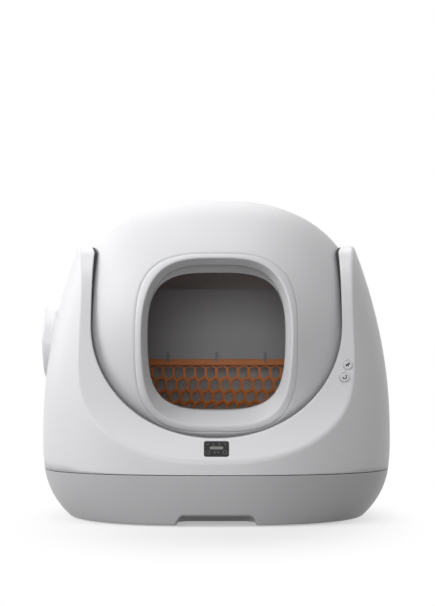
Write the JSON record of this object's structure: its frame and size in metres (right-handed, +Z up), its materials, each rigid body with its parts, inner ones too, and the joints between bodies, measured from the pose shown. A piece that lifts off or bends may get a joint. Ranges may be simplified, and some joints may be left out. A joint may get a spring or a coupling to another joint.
{
  "type": "smart litter box",
  "caption": "Self-cleaning litter box: a motor turns a white drum with a sieve in a U-shaped housing over a waste drawer.",
  "frame": {"origin": "middle of the footprint, on the floor under the feet", "axes": "+X to the right seen from the entrance, +Y to the back, +Z up"},
  "size_m": [0.6047, 0.4998, 0.546],
  "materials": {
    "shell_white": "satin moulded",
    "base_grey": "satin moulded",
    "ring_white": "satin moulded",
    "baffle_grey": "matt moulded",
    "sieve_terracotta": "matt moulded",
    "display_black": "high gloss",
    "button_white": "satin moulded",
    "foot_rubber": "matt",
    "gear_nylon": "satin moulded",
    "board_green": "satin",
    "bare_steel": "brushed",
    "inner_grey": "matt moulded",
    "inlet_black": "satin"
  },
  "bodies": {
    "housing": {"base_tub": "base_grey", "side_frame_left": "inner_grey", "side_frame_right": "inner_grey", "drawer_runners": "gear_nylon", "rubber_feet": "foot_rubber", "load_cells": "bare_steel", "outer_shell": "shell_white", "drum_cradle": "inner_grey", "bush_left": "gear_nylon", "bush_right": "gear_nylon", "drive_cover": "shell_white", "drive_plate": "bare_steel", "gearmotor": "bare_steel", "motor_screws": "bare_steel", "display_window": "display_black", "display_board": "board_green", "button_board": "board_green", "board_standoffs": "gear_nylon", "control_board": "board_green", "power_inlet": "inlet_black", "position_sensor": "inlet_black"},
    "drum": {"drum_shell": "shell_white", "entrance_ring": "ring_white", "litter_guard": "ring_white", "rear_baffle": "baffle_grey", "sieve": "sieve_terracotta", "sieve_clips": "baffle_grey", "hub_left": "inner_grey", "hub_right": "inner_grey", "drum_gear": "gear_nylon", "drum_magnet": "bare_steel"},
    "pinion": {"drive_pinion": "gear_nylon"},
    "drawer": {"drawer_front": "base_grey", "waste_bin": "inner_grey", "bag_ring": "inner_grey"},
    "upper_button": {"button_upper": "button_white"},
    "lower_button": {"button_lower": "button_white"}
  },
  "joints": [
    {"name": "drum_spin", "type": "hinge", "parent": "housing", "child": "drum", "pos_m": [0, 0, 0.313], "axis": [-1, 0, 0], "range_deg": [-15, 270]},
    {"name": "pinion_spin", "type": "hinge", "parent": "housing", "child": "pinion", "pos_m": [-0.28, 0, 0.261], "axis": [-1, 0, 0], "range_deg": [-607.5, 33.75]},
    {"name": "drawer_slide", "type": "slide", "parent": "housing", "child": "drawer", "axis": [0, -1, 0], "range_m": [0, 0.3]},
    {"name": "upper_button_press", "type": "slide", "parent": "housing", "child": "upper_button", "axis": [0, 1, 0], "range_m": [0, 0.0012], "stiffness_N_per_m": 900},
    {"name": "lower_button_press", "type": "slide", "parent": "housing", "child": "lower_button", "axis": [0, 1, 0], "range_m": [0, 0.0012], "stiffness_N_per_m": 900}
  ],
  "couplings": [
    {"joint": "pinion_spin", "follows": "drum_spin", "ratio": -2.25}
  ]
}
